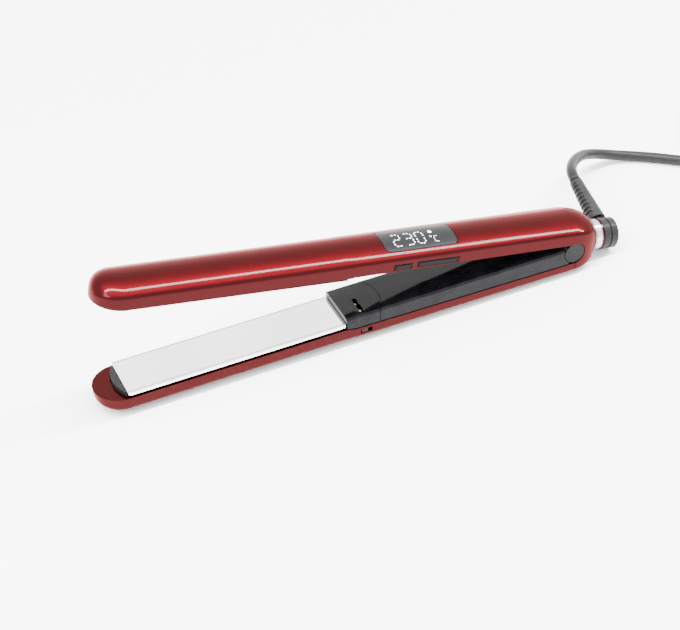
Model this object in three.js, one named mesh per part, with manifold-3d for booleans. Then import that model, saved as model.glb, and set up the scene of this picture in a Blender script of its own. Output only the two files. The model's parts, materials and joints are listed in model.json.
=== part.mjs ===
// Hair straightener lying open on a table: two arms on a sprung hinge, a cord swivel and a coiled cord.
// Millimetres. +X points to the cord end, +Y to the back and +Z up; the lower arm lies on z = 0.
import * as THREE from "three";
import { mergeVertices } from "three/addons/utils/BufferGeometryUtils.js";
import Module from "manifold-3d";

const wasm = await Module();
wasm.setup();

// ---- Driving dimensions ----
// Each arm is drawn in its own frame: Y is the hinge pin's axis, the tip points to -X, and +Z points out
// of the mouth, so the closed arms meet at z = 0.
const openAngle = THREE.MathUtils.degToRad(11.1);
const gap = 0.3;
const halfWidth = 13.3;
const wall = 1.6;
const plateLength = 108.5;
const plateRear = -122;
const plateFront = plateRear - plateLength;
const mouthGap = 0.2; // from each plate to z = 0 when the arms are closed
const plateTravel = 0.5;
const noseTop = -3.05; // the black lid of the lower arm rises past z = 0 into the upper arm

// Heights along an arm, as [x, z] pairs: the rim is the shell's open edge and the crown its back.
const upper = {
  rim: [[plateFront, 2.3], [plateRear - 1, 2.9], [plateRear + 3, 3.4], [0, 5.1]],
  crown: [[plateFront, 13.4], [0, 15]],
};
const lower = {
  rim: [[plateFront, 2.8], [plateRear - 1, 2.8], [plateRear + 5, 3.9], [0, 5.7]],
  crown: [[plateFront, 12.8], [0, 12.8]],
};

// The neck carries the cord swivel behind the hinge.
const neckZ = 0.6;
const housingReach = 13.1;
const housingNeckRadius = 8.7;
const ringRadius = 7.67;
const neckBore = 5.2;
const capStart = 20.1;
const capEnd = 27.8;
const reliefX = 23.8;
const reliefTilt = THREE.MathUtils.degToRad(18);
const reliefEnd = 34;
const slotRadius = 5.6;
const bracketRadius = 5.3;
const bracketHalf = 12.8;
const barrelRadius = 4.6;
const barrelHalf = 4.5;
const pinRadius = 2;
const pinHalf = 10.6;

// The D-shaped head at each carrier's front shows beyond the plate; its arc bulges to the tip.
const carrierHalf = 11.3;
const headReach = 3.5;
const headRadius = (carrierHalf ** 2 + headReach ** 2) / (2 * headReach);
const headArc = { radius: headRadius, centre: plateFront - gap - headReach + headRadius };
const cavityRear = -2.4;

// The row frame's origin is under the middle of the straightener.
const tipAngles = [84, 72, 60, 48, 36, 24, 12, 0].map(THREE.MathUtils.degToRad);
const armReach = -plateFront + halfWidth * Math.sin(tipAngles[0]);
const neckReach =
  capEnd * Math.cos(openAngle) + (neckZ + ringRadius) * Math.sin(openAngle);
const pinX = (armReach - neckReach) / 2;
const pinZ = lower.crown[0][1];

// ---- Materials ----
const paint = (color, roughness, metalness) =>
  new THREE.MeshStandardMaterial({ color, roughness, metalness });
const looks = {
  red: paint(0x9c1b1f, 0.3, 0.5),
  gloss: paint(0x0b0b0d, 0.1, 0),
  dark: paint(0x2a2b2d, 0.5, 0),
  mirror: paint(0xd9dadb, 0.08, 1),
  silver: paint(0xc4c4c6, 0.25, 1),
  steel: paint(0x9a9c9f, 0.35, 1),
  ceramic: paint(0xe6e2d8, 0.6, 0),
  rubber: paint(0x3a3b3d, 0.8, 0),
  board: paint(0x1f5a3a, 0.6, 0),
  brass: paint(0xc9a44c, 0.3, 1),
  silicone: paint(0xb9b4aa, 0.7, 0),
};

// ---- Solids ----
function solid(geometry) {
  const bare = geometry.clone();
  for (const name of Object.keys(bare.attributes)) {
    if (name !== "position") bare.deleteAttribute(name);
  }
  const merged = mergeVertices(bare, 1e-4);
  return new wasm.Manifold(
    new wasm.Mesh({
      numProp: 3,
      vertProperties: new Float32Array(merged.attributes.position.array),
      triVerts: new Uint32Array(merged.index.array),
    }),
  );
}

function toGeometry(body) {
  const { vertProperties, triVerts } = body.getMesh();
  const geometry = new THREE.BufferGeometry();
  geometry.setAttribute("position", new THREE.BufferAttribute(vertProperties, 3));
  geometry.setIndex(new THREE.BufferAttribute(triVerts, 1));
  const flat = geometry.toNonIndexed();
  flat.computeVertexNormals();
  return flat;
}

function block(x0, x1, y0, y1, z0, z1) {
  const geometry = new THREE.BoxGeometry(x1 - x0, y1 - y0, z1 - z0);
  geometry.translate((x0 + x1) / 2, (y0 + y1) / 2, (z0 + z1) / 2);
  return solid(geometry);
}

// A round bar from one point to another.
function bar(from, to, radius, sides = 16, endRadius = radius) {
  const start = new THREE.Vector3(...from);
  const along = new THREE.Vector3(...to).sub(start);
  const geometry = new THREE.CylinderGeometry(endRadius, radius, along.length(), sides);
  geometry.translate(0, along.length() / 2, 0);
  geometry.applyQuaternion(
    new THREE.Quaternion().setFromUnitVectors(
      new THREE.Vector3(0, 1, 0),
      along.normalize(),
    ),
  );
  geometry.translate(...from);
  return solid(geometry);
}

function tube(from, to, radius, bore, sides = 24) {
  const start = new THREE.Vector3(...from);
  const end = new THREE.Vector3(...to);
  const over = end.clone().sub(start).normalize();
  return bar(from, to, radius, sides).subtract(
    bar(start.sub(over).toArray(), end.add(over).toArray(), bore, sides),
  );
}

// An outline in the XY plane, raised from z0 to z1.
function slab(shape, z0, z1, curveSegments = 6) {
  const geometry = new THREE.ExtrudeGeometry(shape, {
    depth: z1 - z0,
    bevelEnabled: false,
    curveSegments,
  });
  geometry.translate(0, 0, z0);
  return solid(geometry);
}

function roundedRectangle(x0, x1, y0, y1, radius) {
  const shape = new THREE.Shape();
  shape.moveTo(x0 + radius, y0);
  shape.lineTo(x1 - radius, y0);
  shape.absarc(x1 - radius, y0 + radius, radius, -Math.PI / 2, 0);
  shape.lineTo(x1, y1 - radius);
  shape.absarc(x1 - radius, y1 - radius, radius, 0, Math.PI / 2);
  shape.lineTo(x0 + radius, y1);
  shape.absarc(x0 + radius, y1 - radius, radius, Math.PI / 2, Math.PI);
  shape.lineTo(x0, y0 + radius);
  shape.absarc(x0 + radius, y0 + radius, radius, Math.PI, Math.PI * 1.5);
  return shape;
}

// A skin through closed rings of points; each end is a fan about that ring's middle, or a given point.
function loft(rings, startCentre) {
  const size = rings[0].length;
  const middle = (ring) =>
    ring.reduce((sum, p) => sum.add(p), new THREE.Vector3()).divideScalar(size);
  const points = rings.flat();
  const indices = [];
  for (let r = 0; r + 1 < rings.length; r++) {
    for (let i = 0; i < size; i++) {
      const a = r * size + i;
      const b = r * size + ((i + 1) % size);
      indices.push(a, b, a + size, b, b + size, a + size);
    }
  }
  const first = points.length;
  const lastRing = (rings.length - 1) * size;
  points.push(startCentre ?? middle(rings[0]), middle(rings.at(-1)));
  for (let i = 0; i < size; i++) {
    const j = (i + 1) % size;
    indices.push(first, j, i, first + 1, lastRing + i, lastRing + j);
  }
  const geometry = new THREE.BufferGeometry().setFromPoints(points);
  geometry.setIndex(indices);
  return solid(geometry);
}

function heightAt(table, x) {
  const next = table.findIndex(([end]) => end >= x);
  if (next === -1) return table.at(-1)[1];
  if (next === 0) return table[0][1];
  const [x0, z0] = table[next - 1];
  const [x1, z1] = table[next];
  return z0 + ((z1 - z0) * (x - x0)) / (x1 - x0);
}

// ---- Arm shells ----
// The arched section from +Y over the back to -Y: an upright side, a narrow shoulder and a low crown.
const sideShare = 0.45;
const shoulderShare = 0.655;
const sideWidth = 0.989;
const crownWidth = 0.887;
const roundShare = 0.568; // the middle of the rounding between side and shoulder
const roundWidth = 0.961;
const crownSteps = 4;

function archProfile(half, base, crown) {
  const height = crown - base;
  const side = [
    [half, base],
    [half * sideWidth, base + height * sideShare],
    [half * roundWidth, base + height * roundShare],
  ];
  for (let k = crownSteps; k > 0; k--) {
    const across = k / crownSteps;
    const rise = shoulderShare + (1 - shoulderShare) * (1 - across ** 2);
    side.push([half * crownWidth * across, base + height * rise]);
  }
  const mirrored = side.map(([y, z]) => [-y, z]).reverse();
  return [...side, [0, crown], ...mirrored];
}

// The arm's outer form, or with an inset and a flat base the hollow inside it.
function armBody(arm, inset = 0, rear = 0, base = undefined) {
  const half = halfWidth - inset;
  const section = (x, width, share) => {
    const floor = base ?? heightAt(arm.rim, x);
    const crown = floor + (heightAt(arm.crown, x) - inset - floor) * share;
    return archProfile(half * width, floor, crown).map(
      ([y, z]) => new THREE.Vector3(x, y, z),
    );
  };
  const tip = tipAngles.map((angle) =>
    section(
      plateFront - half * Math.sin(angle),
      Math.cos(angle),
      Math.cbrt(1 - Math.sin(angle) ** 3),
    ),
  );
  const body = [...arm.rim.slice(1, -1).map(([x]) => x), rear].map((x) =>
    section(x, 1, 1),
  );
  return loft([...tip, ...body]);
}

// The tip ahead of the carrier's head is solid up to the rim.
function hollowOf(arm) {
  const far = plateFront - 2 * halfWidth;
  const radius = headArc.radius + gap;
  const spread = Math.asin(halfWidth / radius);
  const ahead = new THREE.Shape();
  ahead.moveTo(far, -halfWidth);
  ahead.lineTo(far, halfWidth);
  ahead.absarc(headArc.centre, 0, radius, Math.PI - spread, Math.PI + spread);
  return armBody(arm, wall, cavityRear, 0).subtract(slab(ahead, -1, 20, 12));
}

// The hub behind the hinge: the upper arm's section above and the lower arm's below. It leaves each arm
// along that arm and rounds off to the neck. Its lower face is the open stop.
const hubAngles = [0, 22, 45, 67, 90].map(THREE.MathUtils.degToRad);
const neckSpread = 12; // degrees left out at each side of the neck circle, where the two halves join

function hub() {
  const above = archProfile(halfWidth, upper.rim.at(-1)[1], upper.crown.at(-1)[1]);
  const below = archProfile(halfWidth, lower.rim.at(-1)[1], lower.crown.at(-1)[1]);
  const start = [
    ...above.map(([y, z]) => new THREE.Vector3(0, y, z)),
    ...below
      .reverse()
      .map(([y, z]) =>
        new THREE.Vector3(gap, y, -z).applyAxisAngle(
          new THREE.Vector3(0, 1, 0),
          -openAngle,
        ),
      ),
  ];
  const half = above.length;
  const neck = start.map((_, i) => {
    const step = (i % half) / (half - 1);
    const turn = i < half ? 0 : 180;
    const angle = THREE.MathUtils.degToRad(
      turn + neckSpread + (180 - 2 * neckSpread) * step,
    );
    return new THREE.Vector3(
      housingReach,
      housingNeckRadius * Math.cos(angle),
      neckZ + housingNeckRadius * Math.sin(angle),
    );
  });
  const rings = hubAngles.map((angle) =>
    start.map((from, i) => {
      const turn = openAngle * THREE.MathUtils.clamp(-from.z / lower.crown[0][1], 0, 1);
      const along = new THREE.Vector3(1, 0, Math.tan(turn));
      const way = neck[i].clone().sub(from);
      const rest = way.clone().addScaledVector(along, -way.x);
      return from
        .clone()
        .addScaledVector(along, way.x * Math.sin(angle))
        .addScaledVector(rest, 1 - Math.cos(angle));
    }),
  );
  return loft(rings, new THREE.Vector3(0, 0, 0));
}

// Screw posts hang from each shell's back; the lids are screwed to them.
const screwX = [-113, -22];
const screwShank = 1.1;
const screwHead = 2.2;
const screwHeadHeight = 0.6;
const screwHole = 1.4;
const postRadius = 2.8;

function screwPosts(arm, lidTop) {
  return screwX
    .map((x) => {
      const foot = lidTop(x) + gap;
      return tube([x, 0, foot], [x, 0, heightAt(arm.crown, x) - wall / 2], postRadius, screwHole, 12);
    })
    .reduce((all, post) => all.add(post));
}

// A pan-head screw pointing to +Z, with its head's underside at the seat and a driver slot below.
const driverSlot = { halfLength: 1.2, halfWidth: 0.25, depth: 0.25 };

function screw(x, seat, length) {
  const head = bar([x, 0, seat - screwHeadHeight], [x, 0, seat], screwHead, 14);
  const shank = bar([x, 0, seat - screwHeadHeight / 2], [x, 0, seat + length], screwShank, 10);
  const { halfLength, halfWidth: half, depth } = driverSlot;
  const slotTop = seat - screwHeadHeight + depth;
  const slot = block(x - halfLength, x + halfLength, -half, half, seat - 2, slotTop);
  return head.add(shank).subtract(slot);
}

// ---- Upper arm ----
const upperArm = new THREE.Group();
upperArm.position.set(pinX, 0, pinZ);
upperArm.rotation.y = openAngle;

const lowerArm = new THREE.Group();
lowerArm.position.copy(upperArm.position);
lowerArm.rotation.x = Math.PI;

function add(group, name, look, body) {
  const mesh = new THREE.Mesh(toGeometry(body), looks[look].clone());
  mesh.name = name;
  group.add(mesh);
}

const windowX = [-102.4, -64.4];
const windowY = [-9, 7];
const windowRound = 2.6;
const buttonHeight = 2.4;
const buttonLift = 2.1; // from the rim to the middle of the buttons
const buttonX = { power_button: [-99.2, -90.3], temperature_rocker: [-87, -65.4] };
const buttonProud = 0.2;
const buttonFlange = 0.6;
const buttonInside = -10.9;
const upperLidLift = 0.5;
const upperLidThick = 1.5;
const upperLidHalf = 9.7;
const upperLidX = [-121.7, -3.4];
const upperLidTop = (x) => heightAt(upper.rim, x) + upperLidLift + upperLidThick;
const upperScrewSeat = (x) => upperLidTop(x) - 0.6;

function windowPrism(margin) {
  return slab(
    roundedRectangle(
      windowX[0] - margin,
      windowX[1] + margin,
      windowY[0] - margin,
      windowY[1] + margin,
      windowRound,
    ),
    9,
    20,
  );
}

function buttonZ([x0, x1]) {
  return heightAt(upper.rim, (x0 + x1) / 2) + buttonLift;
}

function buttonHole(span) {
  const z = buttonZ(span);
  const reach = buttonHeight / 2 + gap;
  return block(span[0] - gap, span[1] + gap, -halfWidth - 1, -9, z - reach, z + reach);
}

function button(span) {
  const z = buttonZ(span);
  const half = buttonHeight / 2;
  const key = block(span[0], span[1], -halfWidth - buttonProud, buttonInside + 0.1, z - half, z + half);
  const flange = block(
    span[0] - buttonFlange,
    span[1] + buttonFlange,
    buttonInside,
    buttonInside + 0.5,
    z - half - buttonFlange,
    z,
  );
  return key.add(flange);
}

function makeUpperShell() {
  const form = armBody(upper).add(hub());
  let shell = form
    .subtract(hollowOf(upper))
    .add(screwPosts(upper, upperLidTop))
    .subtract(bar([0, -20, 0], [0, 20, 0], slotRadius, 32))
    .subtract(bar([0, 0, neckZ], [20, 0, neckZ], neckBore, 24))
    .subtract(windowPrism(gap));
  for (const span of Object.values(buttonX)) shell = shell.subtract(buttonHole(span));
  return shell;
}

function makeWindow() {
  const hollow = armBody(upper, wall, cavityRear, 0);
  return armBody(upper).intersect(windowPrism(0)).subtract(hollow);
}

// The upper lid is a flat panel that follows the rim's slope, set back so the lower arm's lid nests
// under it.
function makeUpperLid() {
  const ends = upperLidX.map((x) => {
    const z = heightAt(upper.rim, x) + upperLidLift;
    return [
      new THREE.Vector3(x, upperLidHalf, z),
      new THREE.Vector3(x, upperLidHalf, z + upperLidThick),
      new THREE.Vector3(x, -upperLidHalf, z + upperLidThick),
      new THREE.Vector3(x, -upperLidHalf, z),
    ];
  });
  return screwX.reduce((lid, x) => {
    const seat = upperScrewSeat(x) + gap / 2;
    return lid
      .subtract(bar([x, 0, 0], [x, 0, 20], screwHole, 12))
      .subtract(bar([x, 0, 0], [x, 0, seat], screwHead + gap, 16));
  }, loft(ends));
}

add(upperArm, "upper_shell", "red", makeUpperShell());
add(upperArm, "display_window", "gloss", makeWindow());
add(upperArm, "upper_lid", "gloss", makeUpperLid());
screwX.forEach((x, i) => {
  add(upperArm, `upper_lid_screw_${i + 1}`, "steel", screw(x, upperScrewSeat(x), 6));
});

// The control board carries the display module and a key switch behind each button end.
const boardX = [-107, -30];
const boardZ = 7.6;
const boardHalf = 9.2;
const boardThick = 1.2;
const boardTop = boardZ + boardThick;
const moduleY = [-6.5, 4.5];
const moduleTop = 10.6;
const switchHalf = 2;
const switchY = [-9.8, -6.8];
const switchFoot = 6.1;
add(upperArm, "control_board", "board", block(...boardX, -boardHalf, boardHalf, boardZ, boardTop));
add(
  upperArm,
  "display_module",
  "dark",
  block(windowX[0] + 2, windowX[1] - 2, ...moduleY, boardTop + gap, moduleTop),
);
const switchX = { power_switch: -94.8, up_switch: -83, down_switch: -69.4 };
for (const [name, x] of Object.entries(switchX)) {
  const body = block(x - switchHalf, x + switchHalf, ...switchY, switchFoot, boardZ - gap);
  add(upperArm, name, "dark", body);
}

for (const [name, span] of Object.entries(buttonX)) add(upperArm, name, "dark", button(span));

// ---- Plates: the same set in both arms ----
const plateHalf = 12.3;
const plateFlange = [mouthGap, 1.5];
const tongueHalf = 9.4;
const tongueTop = 4.6;
const tongueInset = 3.4;
const carrierZ = [2.3, 5];
const headZ = [0.5, 2.4];
const heaterX = [plateFront + 14, plateRear - 14];
const heaterHalf = 6.5;
const heaterZ = [4.9, 7];
const padHalf = 4;
const padInset = 8; // from each end of the heater
const padZ = [8, 10.2];
const sensorRadius = 1.3;
const sensorReach = 5;

function carrierOutline(rear) {
  const spread = Math.asin(carrierHalf / headArc.radius);
  const shape = new THREE.Shape();
  shape.moveTo(rear, -carrierHalf);
  shape.lineTo(rear, carrierHalf);
  shape.absarc(headArc.centre, 0, headArc.radius, Math.PI - spread, Math.PI + spread);
  return shape;
}

function carrier() {
  const frame = slab(carrierOutline(plateRear - gap), ...carrierZ);
  const head = slab(carrierOutline(plateFront - gap), ...headZ);
  const opening = block(
    plateFront + tongueInset - gap,
    plateRear - tongueInset + gap,
    -tongueHalf - gap,
    tongueHalf + gap,
    0,
    8,
  );
  return frame.add(head).subtract(opening);
}

function plate() {
  const face = slab(
    roundedRectangle(plateFront, plateRear, -plateHalf, plateHalf, 0.5),
    ...plateFlange,
    2,
  );
  const tongue = block(
    plateFront + tongueInset,
    plateRear - tongueInset,
    -tongueHalf,
    tongueHalf,
    plateFlange[1] - 0.2,
    tongueTop,
  );
  return face.add(tongue);
}

function addPlateSet(group, side, sensor) {
  add(group, `${side}_carrier`, "dark", carrier());
  add(group, `${side}_plate`, "mirror", plate());
  add(group, `${side}_heater`, "ceramic", block(...heaterX, -heaterHalf, heaterHalf, ...heaterZ));
  const sensorX = (heaterX[0] + heaterX[1]) / 2;
  const sensorZ = heaterZ[1] + gap + sensorRadius;
  add(
    group,
    sensor,
    "silver",
    bar([sensorX - sensorReach, 0, sensorZ], [sensorX + sensorReach, 0, sensorZ], sensorRadius, 12),
  );
  [heaterX[0] + padInset, heaterX[1] - padInset].forEach((x, i) => {
    const body = block(x - padHalf, x + padHalf, -padHalf, padHalf, ...padZ);
    add(group, `${side}_pad_${i + 1}`, "silicone", body);
  });
}

addPlateSet(upperArm, "upper", "thermostat");
addPlateSet(lowerArm, "lower", "thermal_fuse");

// ---- Hinge ----
const earStart = 7.4;
const ringInner = barrelRadius + 0.35;

// Two ears joined behind the barrel; open towards the arms, so the barrel's web can swing.
function makeBracket() {
  const hollow = bar([0, -earStart, 0], [0, earStart, 0], ringInner, 24);
  const mouth = block(-8, 0, -earStart, earStart, -8, 8);
  return bar([0, -bracketHalf, 0], [0, bracketHalf, 0], bracketRadius, 32)
    .subtract(hollow)
    .subtract(mouth)
    .subtract(bar([0, -pinHalf - gap, 0], [0, pinHalf + gap, 0], pinRadius + gap, 16))
    .subtract(bar([0, 0, neckZ], [20, 0, neckZ], 2.6, 12));
}

function makeSpring(from, to) {
  const turns = 2;
  const radius = 3.4;
  const wireRadius = 0.28;
  const pointsPerTurn = 10;
  const coil = new THREE.CatmullRomCurve3(
    Array.from({ length: turns * pointsPerTurn + 1 }, (_, i) => {
      const angle = (i / pointsPerTurn) * 2 * Math.PI;
      const y = THREE.MathUtils.lerp(from, to, i / (turns * pointsPerTurn));
      return new THREE.Vector3(radius * Math.cos(angle), y, radius * Math.sin(angle));
    }),
  );
  const wire = new THREE.Shape().absarc(0, 0, wireRadius, 0, 2 * Math.PI);
  return solid(
    new THREE.ExtrudeGeometry(wire, {
      steps: turns * 14,
      curveSegments: 3,
      extrudePath: coil,
      bevelEnabled: false,
    }),
  );
}

add(upperArm, "hinge_bracket", "gloss", makeBracket());
add(upperArm, "hinge_pin", "steel", bar([0, -pinHalf, 0], [0, pinHalf, 0], pinRadius, 20));
add(upperArm, "hinge_spring_left", "steel", makeSpring(-6.7, -5.2));
add(upperArm, "hinge_spring_right", "steel", makeSpring(5.2, 6.7));

// ---- Neck and cord swivel ----
const neckPoint = (x) => [x, 0, neckZ];

function neckRing(x0, x1, radius, bore = neckBore) {
  return tube(neckPoint(x0), neckPoint(x1), radius, bore, 32);
}

add(upperArm, "neck_collar", "red", neckRing(13.4, 14.7, 8));
add(upperArm, "trim_ring", "silver", neckRing(15, 18.8, ringRadius));
add(upperArm, "neck_flange", "red", neckRing(19.1, 19.7, 7.9));
add(upperArm, "neck_sleeve", "dark", neckRing(7.2, 19.6, 4.9, 3.2));

const reliefAxis = new THREE.Vector3(0, Math.cos(reliefTilt), Math.sin(reliefTilt));
const reliefPoint = (distance) =>
  new THREE.Vector3(reliefX, 0, neckZ).addScaledVector(reliefAxis, distance).toArray();

function makeCap() {
  const middle = (capStart + capEnd) / 2;
  const groove = tube(neckPoint(middle - 0.4), neckPoint(middle + 0.4), 9, ringRadius - 0.5, 32);
  return bar(neckPoint(capStart), neckPoint(capEnd), ringRadius, 32)
    .subtract(groove)
    .add(bar(neckPoint(8), neckPoint(capStart + 1), 2.9, 20))
    .subtract(bar(reliefPoint(3.6), reliefPoint(12), 3.3, 16));
}

function makeRelief() {
  const root = 8.3;
  const sleeve = bar(reliefPoint(root), reliefPoint(reliefEnd), 4.7, 16, 3.25);
  return sleeve.add(bar(reliefPoint(4), reliefPoint(root + 1), 3, 16));
}

add(upperArm, "swivel_cap", "dark", makeCap());
add(upperArm, "strain_relief", "rubber", makeRelief());

// ---- Lower arm ----
// A glossy lid in two pieces, the nose and the long lid, stands on the shell's rim.
const noseHalf = 12.9;
const noseX = plateRear + gap;
const seam = { side: -104.6, bulge: 4.4 };
const lidThick = 1.5;
const lidTongue = 1.2;
const lidTongueHalf = 10.4;
const lidRear = -3.2;
const lidVoidRear = -7.6;
const slotX = -112.6;
const slotY = [-0.4, 10.8];
const slotHalf = 1.1;
const ionSwitch = { hole: [-115, -109], lift: 2.4, height: 2.2, travel: 1.6 };

function lidProfile(x, inset, tongue) {
  const rim = heightAt(lower.rim, x) - gap;
  const top = noseTop + inset;
  const half = noseHalf - inset;
  const tongueEdge = lidTongueHalf - inset;
  const side = [
    [tongueEdge, rim + gap + tongue],
    [tongueEdge, rim - inset],
    [half, rim - inset],
    [half - 0.3, top + 1.7],
    [half - 1.7, top + 0.25],
  ];
  return [...side, [0, top], ...side.map(([y, z]) => [-y, z]).reverse()].map(
    ([y, z]) => new THREE.Vector3(x, y, z),
  );
}

function lidBody(x0, x1, inset, tongue) {
  const bends = lower.rim.map(([x]) => x).filter((x) => x > x0 && x < x1);
  const rings = [x0, ...bends, x1].map((x) => lidProfile(x, inset, tongue));
  return loft(rings.reverse());
}

// Its rear end curves round the hinge bracket.
function lidShell() {
  return lidBody(noseX, lidRear, 0, lidTongue)
    .subtract(lidBody(noseX + lidThick, lidVoidRear, lidThick, lidTongue * 2))
    .subtract(bar([0, -20, 0], [0, 20, 0], slotRadius, 32));
}

// Everything ahead of the seam, which is an arc that bulges to the hinge.
function aheadOfSeam(offset) {
  const radius = (halfWidth ** 2 + seam.bulge ** 2) / (2 * seam.bulge);
  const spread = Math.asin(halfWidth / radius);
  const side = seam.side + offset;
  const shape = new THREE.Shape();
  shape.moveTo(plateRear - 2, -halfWidth - 1);
  shape.lineTo(side, -halfWidth - 1);
  shape.absarc(side + seam.bulge - radius, 0, radius, -spread, spread);
  shape.lineTo(side, halfWidth + 1);
  shape.lineTo(plateRear - 2, halfWidth + 1);
  return slab(shape, -10, 20, 8);
}

function makeNose() {
  const slot = roundedRectangle(
    slotX - slotHalf,
    slotX + slotHalf,
    ...slotY,
    slotHalf * 0.9,
  );
  return lidShell()
    .intersect(aheadOfSeam(-gap))
    .subtract(slab(slot, -10, 0));
}

function makeLowerLid() {
  const web = block(lidVoidRear - 1, 0, -barrelHalf, barrelHalf, 0.4, barrelRadius - 0.4);
  return lidShell()
    .subtract(aheadOfSeam(0))
    .add(web)
    .add(bar([0, -barrelHalf, 0], [0, barrelHalf, 0], barrelRadius, 24))
    .subtract(bar([0, -20, 0], [0, 20, 0], pinRadius + gap, 16));
}

const ionSwitchZ = heightAt(lower.rim, ionSwitch.hole[0]) + ionSwitch.lift;

function makeLowerShell() {
  const half = ionSwitch.height / 2;
  return armBody(lower)
    .subtract(hollowOf(lower))
    .subtract(block(...ionSwitch.hole, 9, 15, ionSwitchZ - half, ionSwitchZ + half))
    .add(boardPosts());
}

// The ion unit: a generator board in the rear, an emitter block with two needles under the slot.
const ionBoardX = [-99, -52];
const ionBoardZ = 7;
const ionBoardHalf = 8.5;
const ionBoardThick = 1;
const ionPostRadius = 2.6;
const ionScrewX = [-96, -55];
const generator = { x: [-92, -62], half: 7, top: 1.2 };
const emitter = { x: [-119, -107.5], y: [-6, 8.5], z: [1.5, 8] };
const needle = { y: [1.8, 7.4], z: [1.2, -1.3], radius: 0.7 };

function boardPosts() {
  return ionScrewX
    .map((x) => {
      const foot = ionBoardZ + ionBoardThick + gap;
      return tube([x, 0, foot], [x, 0, lower.crown[0][1] - wall / 2], ionPostRadius, screwHole, 12);
    })
    .reduce((all, post) => all.add(post));
}

function makeIonBoard() {
  return ionScrewX.reduce(
    (board, x) => board.subtract(bar([x, 0, 0], [x, 0, 20], screwHole, 12)),
    block(...ionBoardX, -ionBoardHalf, ionBoardHalf, ionBoardZ, ionBoardZ + ionBoardThick),
  );
}

function makeIonSwitch() {
  const [x0, x1] = ionSwitch.hole;
  const keyStart = x0 + 0.6;
  const keyEnd = x1 - 0.6 - ionSwitch.travel;
  const key = block(keyStart, keyEnd, 10, halfWidth - 0.3, ionSwitchZ - 0.8, ionSwitchZ + 0.8);
  const slide = block(x0 - 3, x1, 9.5, 10.1, ionSwitchZ - 0.9, ionSwitchZ + 1.1);
  return key.add(slide);
}

add(lowerArm, "lower_shell", "red", makeLowerShell());
add(lowerArm, "nose_lid", "gloss", makeNose());
add(lowerArm, "lower_lid", "gloss", makeLowerLid());
add(lowerArm, "ion_emitter", "dark", block(...emitter.x, ...emitter.y, ...emitter.z));
needle.y.forEach((y, i) => {
  const body = bar([slotX, y, needle.z[0]], [slotX, y, needle.z[1]], needle.radius, 8);
  add(lowerArm, `ion_needle_${i + 1}`, "brass", body);
});
add(lowerArm, "ion_switch", "dark", makeIonSwitch());
add(lowerArm, "ion_board", "board", makeIonBoard());
add(
  lowerArm,
  "ion_generator",
  "dark",
  block(...generator.x, -generator.half, generator.half, generator.top, ionBoardZ - gap),
);
ionScrewX.forEach((x, i) => {
  add(lowerArm, `ion_board_screw_${i + 1}`, "steel", screw(x, ionBoardZ - gap, 3.5));
});

// ---- Cord, on the table ----
const cordDiameter = 5.5;
const cordRoute = [
  [133, 33.1, 19.4],
  [134.2, 38.8, 20.3],
  [138.2, 46, 19.2],
  [144.6, 53.2, 16.8],
  [152.4, 59.2, 13.4],
  [160.2, 62.4, 9.7],
  [168.4, 63.4, 6.2],
  [176.6, 62, 3.8],
  [184.8, 58.2, 2.9],
  [193.2, 52.2, 2.8],
  [202.5, 44.7, 2.8],
  [219, 31.7, 2.8],
];
const coil = { centre: [265.6, 50.1], outer: 44.5, pitch: 5.7, turns: 3.914, layers: 2, lift: 0.85 };
const plugStart = [289.5, coil.centre[1] - coil.outer];
const plugThick = 13.7;
const plugLength = 46;
const pinSpacing = 18.6;
const pinLength = 18.7;
const plugPinRadius = 2;

// The coiled turns stand as one ring about the coil's centre.
const coilRadii = [
  coil.outer - coil.pitch * coil.turns - cordDiameter / 2,
  coil.outer + cordDiameter / 2,
];
const coilTop = coil.lift + cordDiameter + (coil.layers - 1) * coil.pitch;

function makeCoil() {
  const soft = 2;
  const [inner, outer] = coilRadii;
  const outline = [
    [inner, coil.lift + soft],
    [inner + soft, coil.lift],
    [outer - soft, coil.lift],
    [outer, coil.lift + soft],
    [outer, coilTop - soft],
    [outer - soft, coilTop],
    [inner + soft, coilTop],
    [inner, coilTop - soft],
    [inner, coil.lift + soft],
  ].map(([r, z]) => new THREE.Vector2(r, z));
  return solid(new THREE.LatheGeometry(outline, 32).rotateX(Math.PI / 2));
}

// The free run, up to where it meets the coil.
function makeCord() {
  const path = new THREE.CatmullRomCurve3(
    cordRoute.map((point) => new THREE.Vector3(...point)),
  );
  const section = new THREE.Shape().absarc(0, 0, cordDiameter / 2, 0, 2 * Math.PI);
  const run = new THREE.ExtrudeGeometry(section, {
    steps: 40,
    curveSegments: 5,
    extrudePath: path,
    bevelEnabled: false,
  });
  return solid(run);
}

function makeTie() {
  const half = 3.5;
  const band = 0.6;
  const room = 0.15;
  const inside = Math.sqrt(coilRadii[0] ** 2 - half ** 2) - 2 * room;
  const outside = coilRadii[1] + room;
  const low = coil.lift - room;
  const high = coilTop + room;
  return block(inside - band, outside + band, -half, half, low - band, high + band).subtract(
    block(inside, outside, -half - 1, half + 1, low, high),
  );
}

function makePlug() {
  const half = 17.6;
  const shape = new THREE.Shape();
  shape.moveTo(13, -6);
  shape.lineTo(22, -13);
  shape.lineTo(plugLength - 6, -half);
  shape.lineTo(plugLength, -half);
  shape.lineTo(plugLength, half);
  shape.lineTo(plugLength - 6, half);
  shape.lineTo(22, 13);
  shape.lineTo(13, 6);
  const relief = bar([0, 0, plugThick / 2], [14, 0, plugThick / 2], 3.6, 14, 5);
  return slab(shape, 0, plugThick).add(relief);
}

const cordGroup = new THREE.Group();
const coilGroup = new THREE.Group();
coilGroup.position.set(...coil.centre, 0);
const plugGroup = new THREE.Group();
plugGroup.position.set(...plugStart, 0);

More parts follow.
